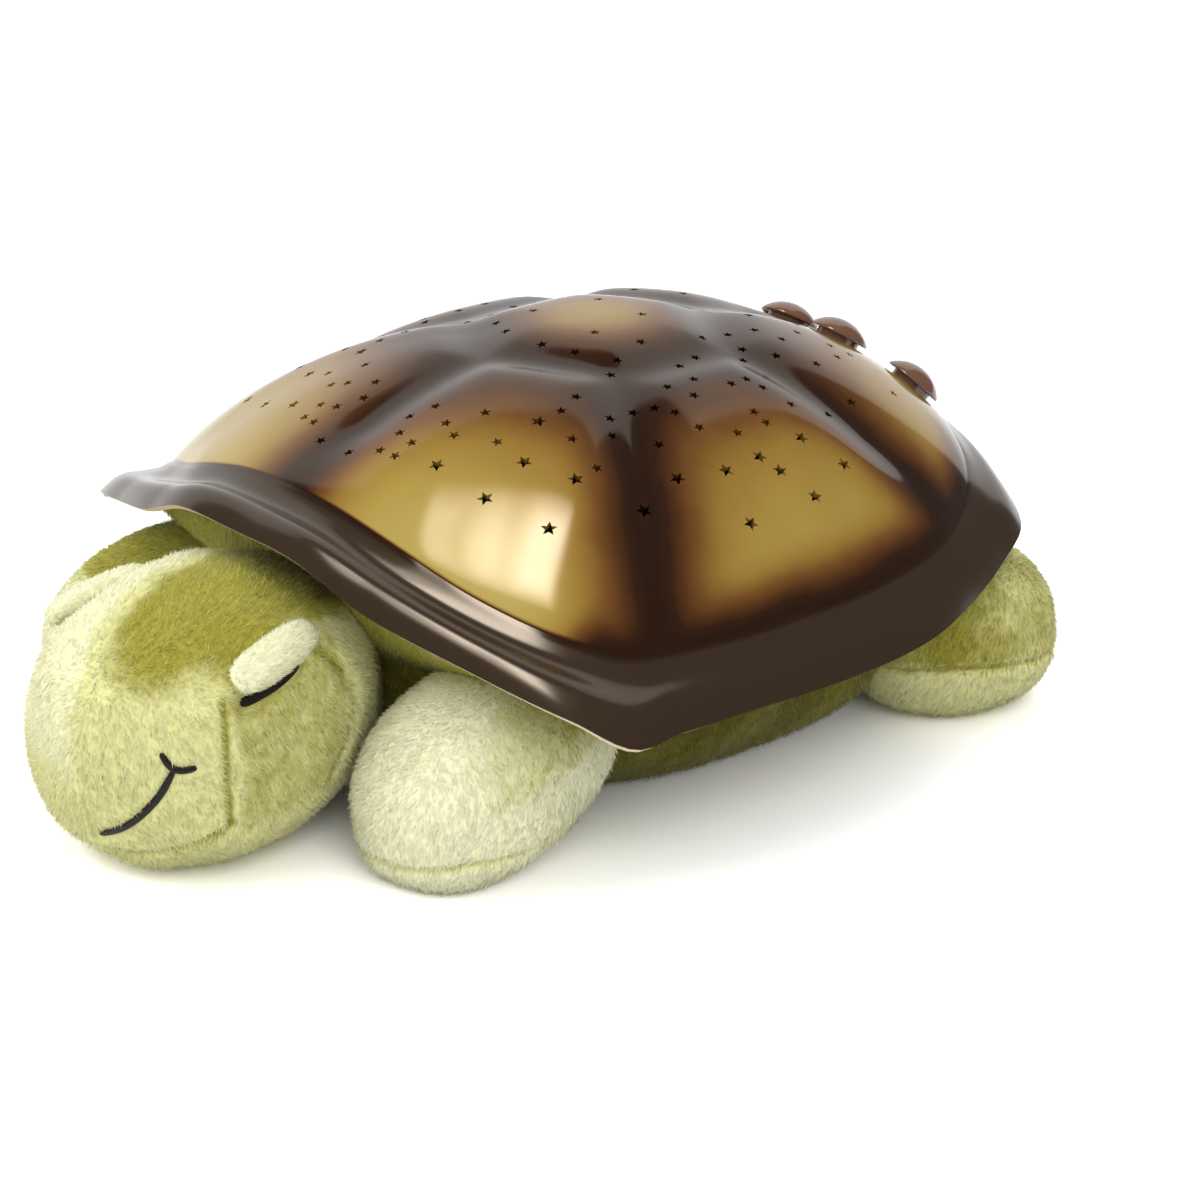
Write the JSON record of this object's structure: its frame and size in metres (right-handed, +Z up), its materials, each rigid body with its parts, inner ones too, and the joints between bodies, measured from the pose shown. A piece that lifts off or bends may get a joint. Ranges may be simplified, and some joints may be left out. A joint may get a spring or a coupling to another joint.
{
  "type": "star night light projector",
  "caption": "Battery night light in the form of a plush turtle whose moulded domed shell, pierced with star holes, throws stars on the ceiling.",
  "frame": {"origin": "on the surface that the turtle lies on, under the crown of the dome", "axes": "-Y towards the nose, +X towards the turtle's left side, +Z up"},
  "size_m": [0.3064, 0.3924, 0.146],
  "materials": {
    "shell_plastic": "high gloss, sprayed olive-yellow in the middle of each plate and dark brown between",
    "button_plastic": "semi-gloss brown",
    "base_plastic": "fine moulded texture",
    "screw_steel": "zinc plated",
    "board_laminate": "solder mask",
    "switch_plastic": "moulded",
    "amber_lens": "clear tinted epoxy",
    "green_lens": "clear tinted epoxy",
    "blue_lens": "clear tinted epoxy",
    "cell_wrap": "plain sleeve",
    "contact_steel": "nickel plated",
    "lead_red": "insulated wire",
    "lead_blue": "insulated wire",
    "plush": "short-pile minky plush, sage green",
    "pale_plush": "short-pile minky plush, pale green",
    "hook_and_loop": "woven hook-and-loop tape"
  },
  "bodies": {
    "turtle": {"star_shell": "shell_plastic", "lamp_base": "base_plastic", "fabric_ring": "base_plastic", "battery_door": "base_plastic", "shell_screws": "screw_steel", "switch_screws": "screw_steel", "led_screws": "screw_steel", "battery_door_screw": "screw_steel", "switch_boards": "board_laminate", "led_board": "board_laminate", "push_switches": "switch_plastic", "control_chip": "switch_plastic", "amber_led": "amber_lens", "green_led": "green_lens", "blue_led": "blue_lens", "battery_cell_1": "cell_wrap", "battery_cell_2": "cell_wrap", "battery_cell_3": "cell_wrap", "contact_plates": "contact_steel", "contact_springs": "contact_steel", "battery_leads": "lead_red", "switch_leads": "lead_blue", "torso": "plush", "shoulder": "plush", "head": "plush", "front_left_flipper": "plush", "front_right_flipper": "plush", "rear_left_flipper": "plush", "rear_right_flipper": "plush", "tail": "plush", "left_eyelid": "pale_plush", "right_eyelid": "pale_plush", "loop_strip": "hook_and_loop"},
    "power_button": {"power_button": "button_plastic"},
    "amber_button": {"amber_button": "button_plastic"},
    "green_button": {"green_button": "button_plastic"},
    "blue_button": {"blue_button": "button_plastic"},
    "belly_flap": {"belly_flap": "plush", "hook_strip": "hook_and_loop"}
  },
  "joints": [
    {"name": "power_button_press", "type": "slide", "parent": "turtle", "child": "power_button", "axis": [0.2292, -0.6429, -0.7309], "range_m": [0, 0.001], "stiffness_N_per_m": 1200, "springref_m": -0.0003},
    {"name": "amber_button_press", "type": "slide", "parent": "turtle", "child": "amber_button", "axis": [0.0624, -0.5324, -0.8442], "range_m": [0, 0.001], "stiffness_N_per_m": 1200, "springref_m": -0.0003},
    {"name": "green_button_press", "type": "slide", "parent": "turtle", "child": "green_button", "axis": [-0.0624, -0.5324, -0.8442], "range_m": [0, 0.001], "stiffness_N_per_m": 1200, "springref_m": -0.0003},
    {"name": "blue_button_press", "type": "slide", "parent": "turtle", "child": "blue_button", "axis": [-0.2292, -0.6429, -0.7309], "range_m": [0, 0.001], "stiffness_N_per_m": 1200, "springref_m": -0.0003},
    {"name": "belly_flap_open", "type": "hinge", "parent": "turtle", "child": "belly_flap", "pos_m": [0, 0.0095, 0], "axis": [-1, 0, 0], "range_deg": [0, 120]}
  ]
}
